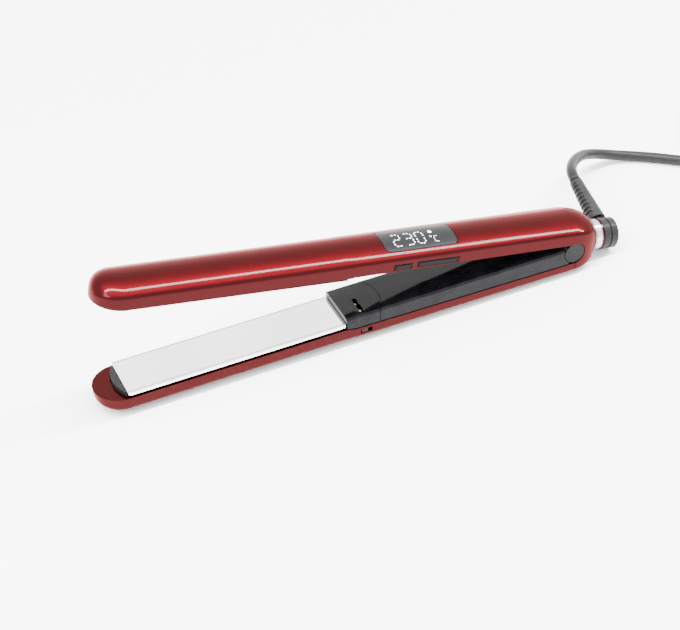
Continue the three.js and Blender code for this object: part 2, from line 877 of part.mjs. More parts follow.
add(cordGroup, "cord", "rubber", makeCord());
add(coilGroup, "cord_coil", "rubber", makeCoil());
add(coilGroup, "coil_tie", "dark", makeTie());
add(plugGroup, "plug_body", "rubber", makePlug());
[-1, 1].forEach((side, i) => {
  const y = (side * pinSpacing) / 2;
  const start = plugLength + gap;
  const end = start + pinLength;
  const pin = bar([start, y, plugThick / 2], [end, y, plugThick / 2], plugPinRadius, 14);
  add(plugGroup, `plug_pin_${i + 1}`, "silver", pin);
});

const root = new THREE.Group();
root.add(upperArm, lowerArm, cordGroup, coilGroup, plugGroup);
export default root;
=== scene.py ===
"""A hair straightener lying open on a pale table, with its cord running to a tied coil and a plug."""

import json
import math

import bmesh
import bpy
from mathutils import Matrix, Vector
from mathutils.bvhtree import BVHTree


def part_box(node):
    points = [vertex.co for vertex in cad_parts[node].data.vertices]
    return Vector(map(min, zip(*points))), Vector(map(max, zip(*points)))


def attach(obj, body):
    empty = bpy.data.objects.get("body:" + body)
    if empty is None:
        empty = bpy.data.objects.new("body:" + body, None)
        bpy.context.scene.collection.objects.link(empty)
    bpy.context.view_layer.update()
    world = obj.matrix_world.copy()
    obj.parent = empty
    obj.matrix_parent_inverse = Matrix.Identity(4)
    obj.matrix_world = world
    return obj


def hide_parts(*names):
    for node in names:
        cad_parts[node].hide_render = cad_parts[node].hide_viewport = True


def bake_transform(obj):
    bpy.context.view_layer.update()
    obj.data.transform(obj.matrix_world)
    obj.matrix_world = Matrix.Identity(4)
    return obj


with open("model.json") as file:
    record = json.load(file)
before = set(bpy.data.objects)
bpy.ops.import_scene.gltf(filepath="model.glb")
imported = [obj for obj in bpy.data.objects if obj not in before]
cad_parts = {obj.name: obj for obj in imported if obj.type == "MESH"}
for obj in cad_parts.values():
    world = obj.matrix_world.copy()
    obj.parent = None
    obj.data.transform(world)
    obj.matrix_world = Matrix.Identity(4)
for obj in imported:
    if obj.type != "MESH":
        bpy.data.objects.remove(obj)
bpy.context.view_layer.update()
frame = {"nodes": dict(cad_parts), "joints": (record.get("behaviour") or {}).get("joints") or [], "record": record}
nodes = frame["nodes"]
joints = {joint["name"]: joint for joint in frame["joints"]}
MM = 0.001

# ---- Frames of the two arms ----
# Each arm is drawn in its own frame, as in the CAD: the pin is the origin, the tip points to -X and +Z
# points from the mouth to the arm's back.
PIN = Vector(joints["arm_hinge"]["pos_m"])
OPEN_ANGLE = math.radians(joints["arm_hinge"]["range_deg"][1])
UPPER = Matrix.Translation(PIN) @ Matrix.Rotation(OPEN_ANGLE, 4, "Y")
LOWER = Matrix.Translation(PIN) @ Matrix.Rotation(math.pi, 4, "X")


# ---- Camera ----
def add_camera():
    target = Vector((-0.0176, -0.0129, 0.02))
    place = Vector((-0.28765, -0.69483, 0.60003))
    roll = math.radians(-3.57)
    camera = bpy.data.objects.new("camera", bpy.data.cameras.new("camera"))
    camera.data.sensor_width = 36
    camera.data.lens = 105.9
    turn = (target - place).to_track_quat("-Z", "Y").to_matrix().to_4x4()
    camera.matrix_world = Matrix.Translation(place) @ turn @ Matrix.Rotation(roll, 4, "Z")
    bpy.context.scene.collection.objects.link(camera)
    bpy.context.scene.camera = camera


# ---- Mesh helpers ----
def new_object(name, mesh):
    piece = bpy.data.objects.new(name, mesh)
    bpy.context.scene.collection.objects.link(piece)
    return piece


def smooth(mesh):
    for polygon in mesh.polygons:
        polygon.use_smooth = True


def skin(name, rings, closed_ends=True):
    """A smooth mesh through rings of points, each ring closed on itself."""
    size = len(rings[0])
    points = [point for ring in rings for point in ring]
    faces = []
    for r in range(len(rings) - 1):
        for i in range(size):
            a = r * size + i
            b = r * size + (i + 1) % size
            faces.append((a, b, b + size, a + size))
    if closed_ends:
        faces.append(tuple(reversed(range(size))))
        faces.append(tuple(range((len(rings) - 1) * size, len(rings) * size)))
    mesh = bpy.data.meshes.new(name)
    mesh.from_pydata([tuple(point) for point in points], [], faces)
    smooth(mesh)
    return new_object(name, mesh)


# ---- Cord ----
CORD = 5.5 * MM
CORD_ROUTE = [
    (133.0, 33.1, 19.4),
    (134.2, 38.8, 20.3),
    (138.2, 46.0, 19.2),
    (144.6, 53.2, 16.8),
    (152.4, 59.2, 13.4),
    (160.2, 62.4, 9.7),
    (168.4, 63.4, 6.2),
    (176.6, 62.0, 3.8),
    (184.8, 58.2, 2.9),
    (193.2, 52.2, 2.8),
    (202.5, 44.7, 2.8),
    (219.0, 31.7, 2.8),
    (232.0, 21.2, 2.9),
]
COIL = {"centre": (265.6, 50.1), "outer": 44.5, "pitch": 5.7, "turns": 3.914, "lift": 0.85}
COIL_START = math.radians(242)
STEPS_PER_TURN = 40
CURVE_STEPS = 6
PLUG_SINK = 2 * MM
TAIL_LIFT = 0.4 * MM


def coil_points():
    """Turns run in on the table, climb a layer and run out again to leave at the coil's front."""
    cx, cy = COIL["centre"]
    low = COIL["lift"] + CORD / MM / 2
    inner = COIL["outer"] - COIL["pitch"] * COIL["turns"]
    layer = int(COIL["turns"] * STEPS_PER_TURN)
    climb = STEPS_PER_TURN // 4
    points = []
    for step in range(2 * layer + climb + 1):
        turned = COIL_START + 2 * math.pi * step / STEPS_PER_TURN
        inward = min(step / layer, 1)
        outward = max((step - layer - climb) / layer, 0)
        radius = COIL["outer"] + (inner - COIL["outer"]) * (inward - outward)
        rise = min(max((step - layer) / climb, 0), 1)
        height = low + COIL["pitch"] * rise * rise * (3 - 2 * rise)
        points.append((cx + radius * math.cos(turned), cy + radius * math.sin(turned), height))
    return points


def through(points, steps=CURVE_STEPS):
    """Points on a smooth curve through the given ones."""
    curve = []
    for i in range(len(points) - 1):
        before = points[max(i - 1, 0)]
        start, end = points[i], points[i + 1]
        after = points[min(i + 2, len(points) - 1)]
        for k in range(steps):
            t = k / steps
            curve.append(
                0.5
                * (
                    2 * start
                    + (end - before) * t
                    + (2 * before - 5 * start + 4 * end - after) * t**2
                    + (3 * start - before - 3 * end + after) * t**3
                )
            )
    return curve + [points[-1]]


def cord_path():
    """From the strain relief along the route, round the coil and into the plug."""
    route = [Vector(point) * MM for point in CORD_ROUTE]
    coil = [Vector(point) * MM for point in coil_points()]
    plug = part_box("plug_body")
    mouth = Vector((plug[0].x + PLUG_SINK, (plug[0].y + plug[1].y) / 2, (plug[0].z + plug[1].z) / 2))
    tail_middle = (coil[-1] + mouth) / 2 + Vector((0, 0, TAIL_LIFT))
    start = through(route + coil[:2])
    return start[:-CURVE_STEPS] + coil + through([coil[-1], tail_middle, mouth])[1:]


def tube(name, path, radius, sides=16):
    """A tube along a path, each ring turned as little as possible from the one before."""
    rings = []
    across = Vector((0, 0, 1))
    for i, point in enumerate(path):
        along = (path[min(i + 1, len(path) - 1)] - path[max(i - 1, 0)]).normalized()
        across = (across - along * across.dot(along)).normalized()
        other = along.cross(across)
        angles = [2 * math.pi * k / sides for k in range(sides)]
        rings.append([point + radius * (across * math.cos(a) + other * math.sin(a)) for a in angles])
    return skin(name, rings)


def add_cord(path):
    cord = tube("mains_cord", path, CORD / 2)
    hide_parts("cord", "cord_coil")
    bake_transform(cord)
    return cord


add_camera()
route = cord_path()
cord = add_cord(route)


# ---- Materials ----
def shader_of(made):
    return made.node_tree.nodes["Principled BSDF"]


def material(name, color, roughness, metallic=0.0, coat=0.0, coat_roughness=0.05, ior=1.5):
    """A plain principled material; each look below adds its own colour, roughness and bump detail."""
    made = bpy.data.materials.new(name)
    made.use_nodes = True
    shader = shader_of(made)
    shader.inputs["Base Color"].default_value = (*color, 1)
    shader.inputs["Roughness"].default_value = roughness
    shader.inputs["Metallic"].default_value = metallic
    shader.inputs["Coat Weight"].default_value = coat
    shader.inputs["Coat Roughness"].default_value = coat_roughness
    shader.inputs["IOR"].default_value = ior
    return made


def add_node(made, kind, **inputs):
    node = made.node_tree.nodes.new(kind)
    for key, value in inputs.items():
        node.inputs[key.replace("_", " ")].default_value = value
    return node


def noise(made, size, detail=3.0, stretch=(1, 1, 1)):
    """Noise whose spots are about size metres across."""
    place = made.node_tree.nodes.new("ShaderNodeTexCoord")
    scaled = add_node(made, "ShaderNodeMapping", Scale=stretch)
    spots = add_node(made, "ShaderNodeTexNoise", Scale=1 / size, Detail=detail)
    made.node_tree.links.new(place.outputs["Object"], scaled.inputs["Vector"])
    made.node_tree.links.new(scaled.outputs["Vector"], spots.inputs["Vector"])
    return spots.outputs["Fac"]


def ramp(made, source, low, high, start=0.35, end=0.65):
    """Two colours or greys mixed by a source between start and end."""
    node = made.node_tree.nodes.new("ShaderNodeValToRGB")
    for element, position, value in zip(node.color_ramp.elements, (start, end), (low, high)):
        element.position = position
        element.color = (*value, 1) if isinstance(value, tuple) else (value, value, value, 1)
    made.node_tree.links.new(source, node.inputs["Fac"])
    return node.outputs["Color"]


def drive(made, socket, source):
    made.node_tree.links.new(source, shader_of(made).inputs[socket])


def bump(made, source, height, strength=0.5):
    node = add_node(made, "ShaderNodeBump", Strength=strength, Distance=height)
    made.node_tree.links.new(source, node.inputs["Height"])
    drive(made, "Normal", node.outputs["Normal"])


def red_lacquer():
    """Red metallic paint under a thin clear coat."""
    made = material("red_lacquer", (0.028, 0.0005, 0.001), 0.36, 1.0, coat=0.3, coat_roughness=0.05)
    shader = shader_of(made)
    shader.inputs["Coat IOR"].default_value = 1.3
    shader.inputs["Specular Tint"].default_value = (0.9, 0.25, 0.25, 1)
    flakes = noise(made, 0.4 * MM)
    drive(made, "Base Color", ramp(made, flakes, (0.024, 0.0004, 0.0009), (0.033, 0.0007, 0.0014)))
    drive(made, "Roughness", ramp(made, noise(made, 9 * MM), 0.33, 0.39))
    bump(made, noise(made, 0.25 * MM, 1.0), 0.004 * MM, 0.4)
    return made


def gloss_black():
    made = material("gloss_black", (0.003, 0.003, 0.004), 0.06, ior=1.2)
    drive(made, "Base Color", ramp(made, noise(made, 6 * MM), (0.002, 0.002, 0.003), (0.005, 0.005, 0.006)))
    drive(made, "Roughness", ramp(made, noise(made, 14 * MM), 0.05, 0.1))
    bump(made, noise(made, 7 * MM, 1.0), 0.01 * MM, 0.3)
    return made


def display_glass():
    made = material("display_glass", (0.008, 0.008, 0.009), 0.3, ior=1.18)
    drive(made, "Base Color", ramp(made, noise(made, 0.3 * MM), (0.006, 0.006, 0.007), (0.011, 0.011, 0.012)))
    drive(made, "Roughness", ramp(made, noise(made, 10 * MM), 0.27, 0.33))
    return made


def satin_plastic(name, color, roughness, ior=1.22):
    made = material(name, color, roughness, ior=ior)
    light = tuple(min(1, c * 1.35) for c in color)
    drive(made, "Base Color", ramp(made, noise(made, 0.8 * MM), color, light))
    drive(made, "Roughness", ramp(made, noise(made, 3 * MM), roughness - 0.05, roughness + 0.05))
    bump(made, noise(made, 0.18 * MM, 2.0), 0.02 * MM, 0.5)
    return made


def polished_plate():
    """Mirror polish, drawn along the plate, with a soft darker cast that changes along it."""
    made = material("polished_plate", (0.95, 0.95, 0.96), 0.06, 1.0)
    streaks = noise(made, 0.5 * MM, 2.0, stretch=(0.02, 1, 1))
    drive(made, "Roughness", ramp(made, streaks, 0.045, 0.09))
    cast = noise(made, 60 * MM, 1.0, stretch=(1, 0.5, 1))
    drive(made, "Base Color", ramp(made, cast, (0.78, 0.78, 0.79), (0.98, 0.98, 0.98), 0.3, 0.62))
    bump(made, streaks, 0.002 * MM, 0.2)
    return made


def bare_metal(name, color, roughness, grain=0.3 * MM):
    made = material(name, color, roughness, 1.0)
    dark = tuple(c * 0.82 for c in color)
    drive(made, "Base Color", ramp(made, noise(made, 2 * MM), dark, color))
    lines = noise(made, grain, 2.0, stretch=(0.1, 1, 1))
    drive(made, "Roughness", ramp(made, lines, roughness - 0.06, roughness + 0.08))
    bump(made, lines, 0.004 * MM, 0.3)
    return made


def jacket():
    made = material("cord_jacket", (0.005, 0.005, 0.0055), 0.42, ior=1.26)
    drive(made, "Base Color", ramp(made, noise(made, 4 * MM), (0.005, 0.005, 0.0055), (0.009, 0.009, 0.0095)))
    drive(made, "Roughness", ramp(made, noise(made, 2 * MM), 0.36, 0.48))
    bump(made, noise(made, 0.3 * MM, 2.0), 0.03 * MM, 0.4)
    return made


def soft_pad():
    made = material("soft_pad", (0.5, 0.48, 0.45), 0.8)
    drive(made, "Base Color", ramp(made, noise(made, 0.5 * MM), (0.42, 0.4, 0.37), (0.56, 0.54, 0.5)))
    bump(made, noise(made, 0.3 * MM), 0.05 * MM)
    return made


def circuit_board():
    made = material("circuit_board", (0.02, 0.14, 0.07), 0.4)
    tracks = noise(made, 1.5 * MM, 0.0, stretch=(1, 4, 1))
    drive(made, "Base Color", ramp(made, tracks, (0.015, 0.1, 0.05), (0.03, 0.2, 0.1), 0.48, 0.52))
    bump(made, tracks, 0.03 * MM)
    return made


# A look for each slot, and for the CAD nodes and the glass that differ from their slot.
LOOKS = {
    "red_shell": red_lacquer(),
    "gloss_black": gloss_black(),
    "display_glass": display_glass(),
    "matte_dark": satin_plastic("satin_dark", (0.007, 0.007, 0.0075), 0.42),
    "plate_coating": polished_plate(),
    "trim_silver": bare_metal("bright_trim", (0.78, 0.78, 0.79), 0.18),
    "power_button": satin_plastic("button_dark", (0.003, 0.003, 0.0035), 0.5, 1.12),
    "temperature_rocker": satin_plastic("rocker_dark", (0.003, 0.003, 0.0035), 0.5, 1.12),
    "trim_ring": bare_metal("ring_metal", (0.3, 0.3, 0.31), 0.25),
    "steel": bare_metal("plain_steel", (0.4, 0.4, 0.41), 0.32),
    "heater_ceramic": satin_plastic("heater_ceramic", (0.6, 0.58, 0.53), 0.7),
    "cord_rubber": jacket(),
    "board_green": circuit_board(),
    "brass": bare_metal("brass", (0.72, 0.52, 0.2), 0.3),
    "silicone": soft_pad(),
}


def finish_with(piece, look):
    piece.data.materials.clear()
    piece.data.materials.append(LOOKS[look])


# Degrees between faces over which shading breaks and edges are softened.
SHARP_ANGLE = 32
CAD_EDGE_ANGLE = 40
SHELL_EDGE_ANGLE = 38
# Widths of the softened edges in millimetres; nodes without one of their own have EDGE_WIDTH.
EDGE_WIDTH = 0.12
EDGE_WIDTHS = {"upper_plate": 0.4, "lower_plate": 0.4, "plug_body": 1.6, "swivel_cap": 0.4, "coil_tie": 0.25}


def soften(piece, width, limit):
    """Smooth shading with the edges over a limit in degrees rounded by a width in millimetres."""
    smooth(piece.data)
    piece.data.set_sharp_from_angle(angle=math.radians(SHARP_ANGLE))
    edges = piece.modifiers.new("soft_edges", "BEVEL")
    edges.width = width * MM
    edges.segments = 3
    edges.limit_method = "ANGLE"
    edges.angle_limit = math.radians(limit)
    edges.use_clamp_overlap = True
    return edges


def dress_cad_nodes():
    """Every CAD node gets its slot's look and softened edges."""
    for part in frame["record"]["subparts"]:
        piece = nodes[part["node"]]
        finish_with(piece, part["node"] if part["node"] in LOOKS else part["material_slot"])
        soften(piece, EDGE_WIDTHS.get(part["node"], EDGE_WIDTH), CAD_EDGE_ANGLE)


dress_cad_nodes()
finish_with(cord, "cord_rubber")


# ---- Arm shells ----
# The same sections as in the CAD, in each arm's own frame and in millimetres, with rounder edges.
HALF_WIDTH = 13.3
WALL = 1.6
GAP = 0.3
PLATE_REAR = -122
PLATE_FRONT = -230.5
UPPER_ARM = {
    "rim": [(PLATE_FRONT, 2.3), (-123, 2.9), (-119, 3.4), (0, 5.1)],
    "crown": [(PLATE_FRONT, 13.4), (0, 15)],
}
LOWER_ARM = {
    "rim": [(PLATE_FRONT, 2.8), (-123, 2.8), (-117, 3.9), (0, 5.7)],
    "crown": [(PLATE_FRONT, 12.8), (0, 12.8)],
}
# A section's shoulder leaves its side at SIDE, bends towards EDGE and meets the crown at SHOULDER. Each is
# a share of the half width and a share of the height.
SIDE = (0.989, 0.45)
EDGE = (0.984, 0.583)
SHOULDER = (0.887, 0.655)
SHOULDER_STEPS = 8
CROWN_STEPS = 9
TIP_STEPS = 18
TIP_START = math.radians(89)  # the first ring is just short of the tip's point
TIP_SQUASH = math.sin(math.radians(84))
CARRIER_HALF = 11.3
HEAD_REACH = 3.5
HEAD_RADIUS = (CARRIER_HALF**2 + HEAD_REACH**2) / (2 * HEAD_REACH)
HEAD_CENTRE = PLATE_FRONT - GAP - HEAD_REACH + HEAD_RADIUS
CAVITY_REAR = -2.4
ARC_STEPS = 32
NECK_Z = 0.6
NECK_X = 13.1
NECK_RADIUS = 8.7
NECK_SPREAD = 12
HUB_STEPS = 12
BORE = 5.2
HINGE_SLOT = 5.6
# A cut through one wall starts INSIDE it and ends BEYOND the part, or a MARGIN past the wall.
INSIDE = 9
BEYOND = 20
MARGIN = 1


def height_at(table, x):
    """A height read off a table of (x, height) pairs, level past both its ends."""
    if x <= table[0][0]:
        return table[0][1]
    for (x0, z0), (x1, z1) in zip(table, table[1:]):
        if x <= x1:
            return z0 + (z1 - z0) * (x - x0) / (x1 - x0)
    return table[-1][1]


def arch_profile(half, base, crown):
    """From +Y over the back to -Y: an upright side, a small round shoulder and a low crown."""
    height = crown - base
    side = [(half, base)]
    for k in range(SHOULDER_STEPS + 1):
        t = k / SHOULDER_STEPS
        weights = ((1 - t) ** 2, 2 * t * (1 - t), t * t)
        width, share = (
            sum(w * point[axis] for w, point in zip(weights, (SIDE, EDGE, SHOULDER))) for axis in (0, 1)
        )
        side.append((half * width, base + height * share))
    for k in range(CROWN_STEPS - 1, 0, -1):
        across = k / CROWN_STEPS
        share = SHOULDER[1] + (1 - SHOULDER[1]) * (1 - across**2)
        side.append((half * SHOULDER[0] * across, base + height * share))
    return side + [(0, crown)] + [(-y, z) for y, z in reversed(side)]


def arm_rings(arm, inset=0.0, rear=0.0, base=None):
    """Closed rings along an arm from the tip back; its tip is a half circle seen from above."""
    half = HALF_WIDTH - inset

    def section(x, width, share):
        floor = height_at(arm["rim"], x) if base is None else base
        crown = floor + (height_at(arm["crown"], x) - inset - floor) * share
        arch = arch_profile(half * width, floor, crown)
        return [Vector((x, y, z)) for y, z in arch] + [Vector((x, y, floor)) for y, _ in reversed(arch)]

    rings = []
    for k in range(TIP_STEPS):
        angle = TIP_START * (1 - k / TIP_STEPS)
        height = (1 - math.sin(angle) ** 3) ** (1 / 3)
        x = PLATE_FRONT - half * TIP_SQUASH * math.sin(angle)
        rings.append(section(x, math.cos(angle), height))
    stations = [PLATE_FRONT] + [x for x, _ in arm["rim"][1:-1]] + [rear]
    return rings + [section(x, 1, 1) for x in stations]


def hub_rings():
    """The hub behind the hinge: each point leaves along its own arm and rounds off to the neck."""
    above = arch_profile(HALF_WIDTH, UPPER_ARM["rim"][-1][1], UPPER_ARM["crown"][-1][1])
    below = arch_profile(HALF_WIDTH, LOWER_ARM["rim"][-1][1], LOWER_ARM["crown"][-1][1])
    stop = [Vector((0, y, z)) for y, z in above] + [Vector((GAP, y, 0)) for y, _ in reversed(below)]
    turned = Matrix.Rotation(-OPEN_ANGLE, 3, "Y")
    start = [Vector((0, y, z)) for y, z in above]
    start += [turned @ Vector((GAP, y, -z)) for y, z in reversed(below)]
    size = len(above)
    neck = []
    for i in range(2 * size):
        share = (i % size) / (size - 1)
        angle = math.radians((0 if i < size else 180) + NECK_SPREAD + (180 - 2 * NECK_SPREAD) * share)
        neck.append(Vector((NECK_X, NECK_RADIUS * math.cos(angle), NECK_Z + NECK_RADIUS * math.sin(angle))))
    rings = [stop]
    for step in range(HUB_STEPS + 1):
        angle = math.radians(90) * step / HUB_STEPS
        ring = []
        for place, end in zip(start, neck):
            turn = OPEN_ANGLE * min(max(-place.z / LOWER_ARM["crown"][0][1], 0), 1)
            along = Vector((1, 0, math.tan(turn)))
            way = end - place
            rest = way - along * way.x
            ring.append(place + along * way.x * math.sin(angle) + rest * (1 - math.cos(angle)))
        rings.append(ring)
    return rings


def loft(name, rings, place):
    """A closed solid through rings given in millimetres in an arm's frame."""
    made = skin(name, [[place @ (point * MM) for point in ring] for ring in rings])
    face_out(made.data)
    return made


def face_out(mesh):
    """Join points that lie on each other and turn every face outwards."""
    whole = bmesh.new()
    whole.from_mesh(mesh)
    bmesh.ops.remove_doubles(whole, verts=whole.verts, dist=1e-7)
    bmesh.ops.recalc_face_normals(whole, faces=whole.faces)
    whole.to_mesh(mesh)
    whole.free()


def prism(name, outline, z0, z1, place):
    """An outline in an arm's XY plane, raised from z0 to z1."""
    return loft(name, [[Vector((x, y, z)) for x, y in outline] for z in (z0, z1)], place)


def round_bar(name, start, end, radius, place, sides=48):
    """A solid cylinder between two points of an arm's frame."""
    start, end = Vector(start), Vector(end)
    turn = (end - start).to_track_quat("Z", "Y").to_matrix()
    circle = [Vector((math.cos(a), math.sin(a), 0)) for a in (2 * math.pi * k / sides for k in range(sides))]
    return loft(name, [[point + radius * (turn @ c) for c in circle] for point in (start, end)], place)


def rounded_outline(x0, x1, y0, y1, radius, steps=8):
    """A rectangle with round corners, as points from its lower right corner on."""
    corners = [(x1 - radius, y0 + radius), (x1 - radius, y1 - radius), (x0 + radius, y1 - radius)]
    corners.append((x0 + radius, y0 + radius))
    outline = []
    for quarter, (x, y) in enumerate(corners):
        for k in range(steps + 1):
            angle = math.pi / 2 * (quarter - 1 + k / steps)
            outline.append((x + radius * math.cos(angle), y + radius * math.sin(angle)))
    return outline


def box_piece(name, low, high, place):
    """A box between two opposite corners in an arm's frame."""
    outline = [(low[0], low[1]), (high[0], low[1]), (high[0], high[1]), (low[0], high[1])]
    return prism(name, outline, low[2], high[2], place)


def combine(body, tools, operation="DIFFERENCE"):
    """Join or cut with each tool in turn and drop the tools."""
    for tool in tools:
        step = body.modifiers.new("cut", "BOOLEAN")
        step.operation = operation
        step.solver = "EXACT"
        step.object = tool
    bpy.context.view_layer.update()
    result = bpy.data.meshes.new_from_object(body.evaluated_get(bpy.context.evaluated_depsgraph_get()))
    body.modifiers.clear()
    body.data = result
    for tool in tools:
        bpy.data.objects.remove(tool)


def hollow_tools(arm, place):
    """The hollow, and with it what keeps the tip solid ahead of the carrier's head."""
    hollow = loft("hollow", arm_rings(arm, WALL, CAVITY_REAR, 0), place)
    far = PLATE_FRONT - 2 * HALF_WIDTH
    radius = HEAD_RADIUS + GAP
    spread = math.asin(HALF_WIDTH / radius)
    ahead = [(far, -HALF_WIDTH), (far, HALF_WIDTH)]
    for k in range(ARC_STEPS + 1):
        angle = math.pi - spread + 2 * spread * k / ARC_STEPS
        ahead.append((HEAD_CENTRE + radius * math.cos(angle), radius * math.sin(angle)))
    combine(hollow, [prism("ahead", ahead, -MARGIN, BEYOND, place)])
    return hollow


WINDOW = (-102.4, -64.4, -9, 7)
WINDOW_ROUND = 2.6
BUTTONS = {"power_button": (-99.2, -90.3), "temperature_rocker": (-87, -65.4)}
BUTTON_HALF = 1.2
BUTTON_LIFT = 2.1
ION_HOLE = {"x": (-115, -109), "y": (9, 15), "lift": 2.4, "half": 1.1}


def button_z(span):
    return height_at(UPPER_ARM["rim"], sum(span) / 2) + BUTTON_LIFT


def finish_shell(shell, slot, width=0.25, look=None):
    finish_with(shell, look or slot)
    edges = soften(shell, width, SHELL_EDGE_ANGLE)
    edges.harden_normals = True


def make_upper_shell():
    shell = loft("upper_red_shell", arm_rings(UPPER_ARM) + hub_rings(), UPPER)
    x0, x1, y0, y1 = WINDOW
    window = rounded_outline(x0 - GAP, x1 + GAP, y0 - GAP, y1 + GAP, WINDOW_ROUND)
    tools = [
        hollow_tools(UPPER_ARM, UPPER),
        round_bar("slot", (0, -BEYOND, 0), (0, BEYOND, 0), HINGE_SLOT, UPPER),
        round_bar("bore", (0, 0, NECK_Z), (BEYOND, 0, NECK_Z), BORE, UPPER),
        prism("window", window, INSIDE, BEYOND, UPPER),
    ]
    reach = BUTTON_HALF + GAP
    for span in BUTTONS.values():
        z = button_z(span)
        low = (span[0] - GAP, -HALF_WIDTH - MARGIN, z - reach)
        tools.append(box_piece("hole", low, (span[1] + GAP, -INSIDE, z + reach), UPPER))
    combine(shell, tools)
    finish_shell(shell, "red_shell")
    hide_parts("upper_shell")
    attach(shell, "upper_arm")


def make_lower_shell():
    shell = loft("lower_red_shell", arm_rings(LOWER_ARM), LOWER)
    x0, x1 = ION_HOLE["x"]
    y0, y1 = ION_HOLE["y"]
    z = height_at(LOWER_ARM["rim"], x0) + ION_HOLE["lift"]
    hole = box_piece("hole", (x0, y0, z - ION_HOLE["half"]), (x1, y1, z + ION_HOLE["half"]), LOWER)
    combine(shell, [hollow_tools(LOWER_ARM, LOWER), hole])
    finish_shell(shell, "red_shell")
    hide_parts("lower_shell")
    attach(shell, "lower_arm")


def make_window():
    """The display's glass carries on the shell's outer surface."""
    x0, x1, y0, y1 = WINDOW
    window = loft("display_glass", arm_rings(UPPER_ARM), UPPER)
    outline = rounded_outline(x0, x1, y0, y1, WINDOW_ROUND)
    combine(window, [prism("window", outline, INSIDE, BEYOND, UPPER)], "INTERSECT")
    combine(window, [loft("hollow", arm_rings(UPPER_ARM, WALL, CAVITY_REAR, 0), UPPER)])
    finish_shell(window, "gloss_black", 0.2, look="display_glass")
    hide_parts("display_window")
    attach(window, "upper_arm")
    return window


# ---- Black lid of the lower arm ----
# It stands on the shell's rim in two pieces, the nose and the long lid, with a seam that bulges back.
LID_HALF = 12.9
LID_TOP = -3.05
LID_FRONT = PLATE_REAR + GAP
LID_REAR = -3.2
LID_HOLLOW_REAR = -7.6
LID_THICK = 1.5
TONGUE = 1.2
TONGUE_HALF = 10.4
LID_ROUND = 1.9
LID_ROUND_STEPS = 8
LID_CROWN = 0.12
LID_LEAN = 0.25
LID_SQUASH = 0.9
SMALLEST_ROUND = 0.4
SEAM_STEPS = 24
SEAM_SIDE = -104.6
SEAM_BULGE = 4.4
MOUTH = -10  # a height in the open mouth, clear of the lid
NOSE_SLOT = (-113.7, -111.5, -0.4, 10.8)
NOSE_SLOT_ROUND = 1.0
BARREL_HALF = 4.5
BARREL_RADIUS = 4.6
PIN_HOLE = 2.3
WEB_INSET = 0.4


def lid_rings(x0, x1, inset, tongue):
    """Rings along the lid: a flat top with round edges and a tongue that sits inside the shell's rim."""
    half, tongue_edge, top = LID_HALF - inset, TONGUE_HALF - inset, LID_TOP + inset
    corner = max(LID_ROUND - inset, SMALLEST_ROUND)
    bends = [x for x, _ in LOWER_ARM["rim"] if x0 < x < x1]
    rings = []
    for x in [x0, *bends, x1]:
        rim = height_at(LOWER_ARM["rim"], x) - GAP
        side = [(tongue_edge, rim + GAP + tongue), (tongue_edge, rim - inset), (half, rim - inset)]
        for k in range(LID_ROUND_STEPS + 1):
            angle = math.pi / 2 * k / LID_ROUND_STEPS
            y = half - LID_LEAN - corner + corner * math.cos(angle)
            side.append((y, top + corner * LID_SQUASH - corner * LID_SQUASH * math.sin(angle)))
        ring = side + [(0, top - LID_CROWN)] + [(-y, z) for y, z in reversed(side)]
        rings.append([Vector((x, y, z)) for y, z in ring])
    return rings


def ahead_of_seam(offset):
    """All that is ahead of the seam, which is moved back by an offset."""
    radius = (HALF_WIDTH**2 + SEAM_BULGE**2) / (2 * SEAM_BULGE)
    spread = math.asin(HALF_WIDTH / radius)
    side = SEAM_SIDE + offset
    front = PLATE_REAR - 2 * MARGIN
    edge = HALF_WIDTH + MARGIN
    outline = [(front, -edge), (side, -edge)]
    for k in range(SEAM_STEPS + 1):
        angle = spread * (2 * k / SEAM_STEPS - 1)
        outline.append((side + SEAM_BULGE - radius + radius * math.cos(angle), radius * math.sin(angle)))
    outline += [(side, edge), (front, edge)]
    return prism("ahead_of_seam", outline, MOUTH, BEYOND, LOWER)


def lid_shell(name):
    lid = loft(name, lid_rings(LID_FRONT, LID_REAR, 0, TONGUE), LOWER)
    inside = lid_rings(LID_FRONT + LID_THICK, LID_HOLLOW_REAR, LID_THICK, TONGUE * 2)
    rear = round_bar("rear", (0, -BEYOND, 0), (0, BEYOND, 0), HINGE_SLOT, LOWER)
    combine(lid, [loft("inside", inside, LOWER), rear])
    return lid


def place_lid(lid, node):
    finish_shell(lid, "gloss_black", 0.2)
    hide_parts(node)
    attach(lid, "lower_arm")


def make_nose():
    nose = lid_shell("nose_cover")
    combine(nose, [ahead_of_seam(-GAP)], "INTERSECT")
    combine(nose, [prism("slot", rounded_outline(*NOSE_SLOT, NOSE_SLOT_ROUND), MOUTH, 0, LOWER)])
    place_lid(nose, "nose_lid")


def make_long_lid():
    lid = lid_shell("long_lid")
    combine(lid, [ahead_of_seam(0)])
    low = (LID_HOLLOW_REAR - MARGIN, -BARREL_HALF, WEB_INSET)
    web = box_piece("web", low, (0, BARREL_HALF, BARREL_RADIUS - WEB_INSET), LOWER)
    barrel = round_bar("barrel", (0, -BARREL_HALF, 0), (0, BARREL_HALF, 0), BARREL_RADIUS, LOWER)
    combine(lid, [web, barrel], "UNION")
    combine(lid, [round_bar("pin_hole", (0, -BEYOND, 0), (0, BEYOND, 0), PIN_HOLE, LOWER)])
    place_lid(lid, "lower_lid")


make_upper_shell()
make_lower_shell()
glass = make_window()
make_nose()
make_long_lid()


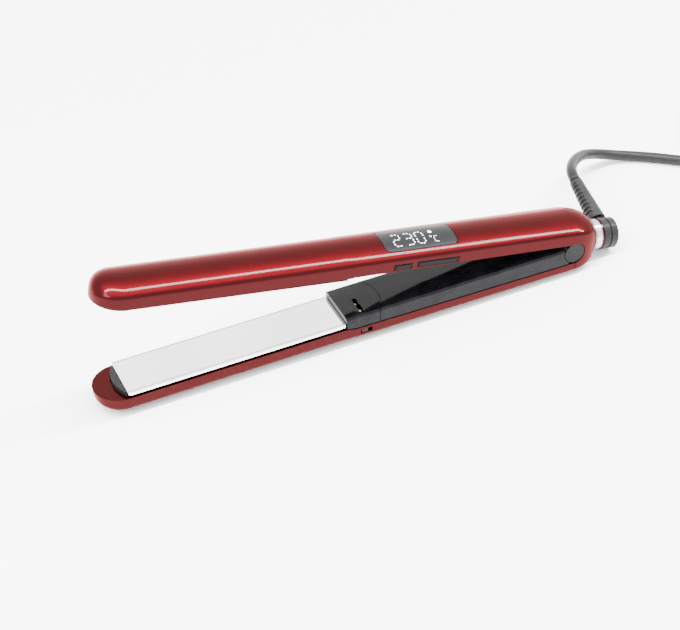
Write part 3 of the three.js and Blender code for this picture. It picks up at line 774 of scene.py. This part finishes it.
# ---- Display ----
# Seven-segment figures, each segment two short dashes, lie on the window's glass.
SEGMENTS = {
    "top": ((0, 1), (1, 1)),
    "upper_right": ((1, 1), (1, 0.5)),
    "lower_right": ((1, 0.5), (1, 0)),
    "bottom": ((0, 0), (1, 0)),
    "lower_left": ((0, 0.5), (0, 0)),
    "upper_left": ((0, 1), (0, 0.5)),
    "middle": ((0, 0.5), (1, 0.5)),
}
FIGURES = {
    "2": ("top", "upper_right", "middle", "lower_left", "bottom"),
    "3": ("top", "upper_right", "middle", "lower_right", "bottom"),
    "0": ("top", "upper_right", "lower_right", "bottom", "lower_left", "upper_left"),
    "C": ("top", "upper_left", "lower_left", "bottom"),
}
# Each figure's lower left corner, width, height and line width in the upper arm's frame.
READOUT = [
    ("2", (-96.6, -6.6), 3.9, 7.8, 0.46),
    ("3", (-90.3, -6.6), 3.9, 7.8, 0.46),
    ("0", (-84.4, -6.6), 3.9, 7.8, 0.46),
    ("0", (-77.4, -3.6), 0.8, 0.9, 0.2),
    ("C", (-75.6, -6.6), 2.0, 3.4, 0.32),
]
# A dash's two places along its segment and its half length, as shares of the segment.
DASH_PLACES = (0.29, 0.71)
DASH_REACH = 0.13
DROP = {"middle": (-76.0, 0.3), "radius": 0.95, "height": 2.4, "degrees": range(150, 391, 20)}
FIGURE_LIFT = 0.03


def surface_of(mesh, place):
    """A function from a point of the arm's XY plane to the highest point of a mesh there."""
    back = place.inverted()
    whole = bmesh.new()
    whole.from_mesh(mesh)
    for vertex in whole.verts:
        vertex.co = (back @ vertex.co) / MM
    tree = BVHTree.FromBMesh(whole)
    whole.free()

    def lift(x, y):
        return tree.ray_cast(Vector((x, y, 2 * BEYOND)), Vector((0, 0, -1)))[0]

    return lift


def dashes(figure, corner, width, height, line):
    """The outlines of a figure's dashes."""
    outlines = []
    for name in FIGURES[figure]:
        (u0, v0), (u1, v1) = SEGMENTS[name]
        for share in DASH_PLACES:
            x = corner[0] + width * (u0 + (u1 - u0) * share)
            y = corner[1] + height * (v0 + (v1 - v0) * share)
            half_x = max(DASH_REACH * width * abs(u1 - u0), line / 2)
            half_y = max(DASH_REACH * height * abs(v1 - v0), line / 2)
            outlines.append(rounded_outline(x - half_x, x + half_x, y - half_y, y + half_y, line * 0.3, 2))
    return outlines


def drop_outline():
    """A drop: a round lower part and a point on top."""
    x, y = DROP["middle"]
    lower = [math.radians(angle) for angle in DROP["degrees"]]
    arc = [(x + DROP["radius"] * math.cos(a), y + DROP["radius"] * math.sin(a)) for a in lower]
    return arc + [(x, y + DROP["height"] - DROP["radius"])]


def add_readout():
    lift = surface_of(glass.data, UPPER)
    outlines = [outline for figure in READOUT for outline in dashes(*figure)] + [drop_outline()]
    points = []
    faces = []
    for outline in outlines:
        faces.append(tuple(range(len(points), len(points) + len(outline))))
        for x, y in outline:
            points.append(UPPER @ ((lift(x, y) + Vector((0, 0, FIGURE_LIFT))) * MM))
    mesh = bpy.data.meshes.new("display_figures")
    mesh.from_pydata([tuple(point) for point in points], [], faces)
    readout = new_object("display_figures", mesh)
    readout.data.materials.append(lit_figures())
    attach(readout, "upper_arm")


def lit_figures():
    made = material("lit_figures", (0.8, 0.82, 0.84), 0.5)
    shader = shader_of(made)
    glow = ramp(made, noise(made, 0.6 * MM), (0.75, 0.8, 0.85), (0.95, 0.97, 1.0))
    made.node_tree.links.new(glow, shader.inputs["Emission Color"])
    shader.inputs["Emission Strength"].default_value = 1.2
    return made


# ---- Plate edges ----
STRIP_END = 0.6
EDGE_LINE = {"y": (11.3, 11.6), "z": (0.3, 0.17)}
EDGE_SKIRT = {"y": (12.2, 12.55), "z": (1.75, 0.45)}


def add_plate_edge(side, place, name, band, look):
    """A strip along each long edge of a plate."""
    x0, x1 = PLATE_FRONT + STRIP_END, PLATE_REAR - STRIP_END
    inner, outer = band["y"]
    boxes = []
    for sign in (-1, 1):
        corners = []
        for z in band["z"]:
            for x, y in ((x0, inner), (x1, inner), (x1, outer), (x0, outer)):
                corners.append(place @ (Vector((x, sign * y, z)) * MM))
        boxes.append(corners)
    strip = many_boxes(f"{side}_plate_{name}", boxes)
    finish_with(strip, look)
    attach(strip, f"{side}_plate_set")


# ---- Grip ridges, ring ribs and the strain relief ----
def many_boxes(name, boxes):
    """One mesh of many small boxes, each given by its eight corners, the four of one end first."""
    points = [tuple(corner) for corners in boxes for corner in corners]
    sides = [(0, 3, 2, 1), (4, 5, 6, 7), (0, 1, 5, 4), (1, 2, 6, 5), (2, 3, 7, 6), (3, 0, 4, 7)]
    faces = [tuple(8 * i + k for k in side) for i in range(len(boxes)) for side in sides]
    mesh = bpy.data.meshes.new(name)
    mesh.from_pydata(points, [], faces)
    made = new_object(name, mesh)
    face_out(mesh)
    return made


BUTTON_FACE = -13.5
RIDGE_PITCH = 0.95
RIDGE_WIDTH = 0.34
RIDGE_LEAN = 0.9
RIDGE_HALF = BUTTON_HALF - 0.35
RIDGE_Y = (BUTTON_FACE + 0.05, BUTTON_FACE - 0.14)
SQUARE = ((-1, -1), (1, -1), (1, 1), (-1, 1))


def add_button_ridges(body, span):
    """Slanted ridges across a button's face."""
    z = button_z(span)
    boxes = []
    count = int((span[1] - span[0] - 2 * RIDGE_LEAN) / RIDGE_PITCH)
    for k in range(count):
        x = span[0] + RIDGE_LEAN + (k + 0.5) * RIDGE_PITCH
        corners = []
        for y in RIDGE_Y:
            for side_x, side_z in SQUARE:
                lean = side_z * RIDGE_LEAN / 2
                point = Vector((x + side_x * RIDGE_WIDTH / 2 + lean, y, z + side_z * RIDGE_HALF))
                corners.append(UPPER @ (point * MM))
        boxes.append(corners)
    ridges = many_boxes(f"{body}_ridges", boxes)
    finish_with(ridges, "matte_dark")
    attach(ridges, body)


RIB_COUNT = 56
RIB_X = (15.7, 18.1)
RIB_RADII = (7.6, 7.82)


def add_ring_ribs():
    """Fine ribs round the silver ring, between its plain edges; ribs and gaps are equally wide."""
    start, end = RIB_X
    half = math.pi / RIB_COUNT * 0.5
    boxes = []
    for k in range(RIB_COUNT):
        middle = 2 * math.pi * k / RIB_COUNT
        corners = []
        for radius in RIB_RADII:
            for x, turn in ((start, -half), (end, -half), (end, half), (start, half)):
                angle = middle + turn
                point = Vector((x, radius * math.cos(angle), NECK_Z + radius * math.sin(angle)))
                corners.append(UPPER @ (point * MM))
        boxes.append(corners)
    ribs = many_boxes("trim_ring_ribs", boxes)
    finish_with(ribs, "trim_silver")
    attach(ribs, "upper_arm")


RELIEF_X = 23.8
RELIEF_TILT = math.radians(18)
RELIEF_SPAN = (8.3, 34.0)
RELIEF_RADII = (4.7, 3.25)
RELIEF_ROOT = {"start": 4, "radius": 3}
RELIEF_SIDES = 48
RELIEF_STEPS = 180
RELIEF_SHARP_ANGLE = 50
GROOVE_SPAN = (RELIEF_SPAN[0] + 2.4, RELIEF_SPAN[1] - 2.4)
GROOVE_PITCH = 2.5
GROOVE_DEPTH = 0.75
GROOVE_FLOOR = 0.45  # the share of each wave that is left uncut
GROOVE_SIDE = 0.45  # the cosine where the smooth back gives way to the grooved side
GROOVE_EDGE = 5  # how steeply it does


def groove_depth(along, angle):
    """How deep the sleeve is cut at a distance along it and an angle round it: grooves on its two sides."""
    if not GROOVE_SPAN[0] < along < GROOVE_SPAN[1]:
        return 0.0
    wave = 0.5 - 0.5 * math.cos(2 * math.pi * (along - GROOVE_SPAN[0]) / GROOVE_PITCH)
    cut = max(0.0, (wave - GROOVE_FLOOR) / (1 - GROOVE_FLOOR)) ** 0.5
    side = min(1.0, max(0.0, (abs(math.cos(angle)) - GROOVE_SIDE) * GROOVE_EDGE))
    return GROOVE_DEPTH * cut * side


def make_strain_relief():
    """A tapered sleeve with a smooth back and grooves across its two sides."""
    axis = Vector((0, math.cos(RELIEF_TILT), math.sin(RELIEF_TILT)))
    start = Vector((RELIEF_X, 0, NECK_Z))
    across = Vector((1, 0, 0))
    up = across.cross(axis)
    first, last = RELIEF_SPAN
    angles = [2 * math.pi * i / RELIEF_SIDES for i in range(RELIEF_SIDES)]
    ways = [across * math.cos(a) + up * math.sin(a) for a in angles]
    rings = []
    for along in (RELIEF_ROOT["start"], first):
        rings.append([start + axis * along + way * RELIEF_ROOT["radius"] for way in ways])
    for step in range(RELIEF_STEPS + 1):
        share = step / RELIEF_STEPS
        along = first + (last - first) * share
        radius = RELIEF_RADII[0] + (RELIEF_RADII[1] - RELIEF_RADII[0]) * share
        middle = start + axis * along
        rings.append([middle + way * (radius - groove_depth(along, a)) for way, a in zip(ways, angles)])
    relief = loft("strain_relief_sleeve", rings, UPPER)
    relief.data.set_sharp_from_angle(angle=math.radians(RELIEF_SHARP_ANGLE))
    finish_with(relief, "cord_rubber")
    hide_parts("strain_relief")
    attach(relief, "cord_swivel")


add_readout()
for side, place in (("upper", UPPER), ("lower", LOWER)):
    add_plate_edge(side, place, "line", EDGE_LINE, "matte_dark")
    add_plate_edge(side, place, "skirt", EDGE_SKIRT, "plate_coating")
for button_body, button_span in BUTTONS.items():
    add_button_ridges(button_body, button_span)
add_ring_ribs()
make_strain_relief()


# ---- Stage ----
def add_floor():
    size = 3
    mesh = bpy.data.meshes.new("floor")
    corners = [(-size, -size, 0), (size, -size, 0), (size, size, 0), (-size, size, 0)]
    mesh.from_pydata(corners, [], [(0, 1, 2, 3)])
    floor = new_object("floor", mesh)
    surface = bpy.data.materials.new("floor")
    surface.use_nodes = True
    shader = shader_of(surface)
    shader.inputs["Base Color"].default_value = (0.92, 0.92, 0.92, 1)
    shader.inputs["Roughness"].default_value = 0.7
    mesh.materials.append(surface)


def add_light(name, place, target, size, power):
    light = bpy.data.objects.new(name, bpy.data.lights.new(name, "AREA"))
    light.data.shape = "RECTANGLE"
    light.data.size, light.data.size_y = size
    light.data.energy = power
    aim = (Vector(target) - Vector(place)).to_track_quat("-Z", "Y")
    light.matrix_world = Matrix.Translation(place) @ aim.to_matrix().to_4x4()
    bpy.context.scene.collection.objects.link(light)


def add_world():
    world = bpy.data.worlds.new("studio")
    world.use_nodes = True
    world.node_tree.nodes["Background"].inputs["Color"].default_value = (1, 1, 1, 1)
    world.node_tree.nodes["Background"].inputs["Strength"].default_value = 4.0
    bpy.context.scene.world = world


add_floor()
add_light("top_light", (0.5, -0.05, 1.15), (0.5, 0, 0), (2.6, 0.09), 115)
add_light("side_light", (-0.9, -0.3, 0.9), (0, 0, 0), (0.5, 0.5), 20)
add_world()
